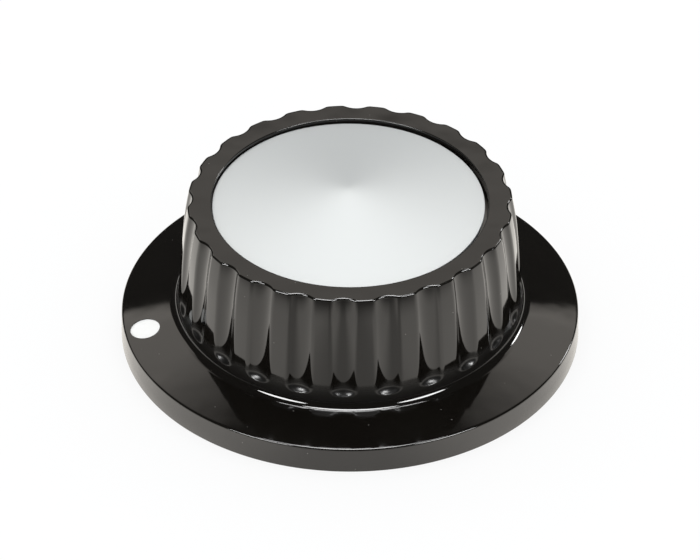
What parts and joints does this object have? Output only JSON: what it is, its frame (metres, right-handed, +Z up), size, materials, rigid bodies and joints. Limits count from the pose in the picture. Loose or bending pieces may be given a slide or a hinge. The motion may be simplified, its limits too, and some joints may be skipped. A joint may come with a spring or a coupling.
{
  "type": "control knob",
  "caption": "Round skirted control knob with a fluted tapered grip, a coned metal inlay, an index dot on the skirt and a brass bushing with set screws for a plain round shaft.",
  "frame": {"origin": "on the shaft's axis, in the plane of the skirt's foot", "axes": "+Z up along the shaft, away from the panel; the index dot lies close to +Y, and the set screws enter from +X and -Y"},
  "size_m": [0.0572, 0.0572, 0.0221],
  "materials": {
    "moulding_black": "moulded gloss black thermoset",
    "inlay_aluminium": "fine-turned satin aluminium",
    "index_white": "white filling paint",
    "bushing_brass": "turned brass",
    "screw_steel": "black oxide steel"
  },
  "bodies": {
    "root": {"knob_body": "moulding_black", "inlay_disc": "inlay_aluminium", "index_dot": "index_white", "shaft_bushing": "bushing_brass", "set_screws": "screw_steel"}
  },
  "joints": []
}
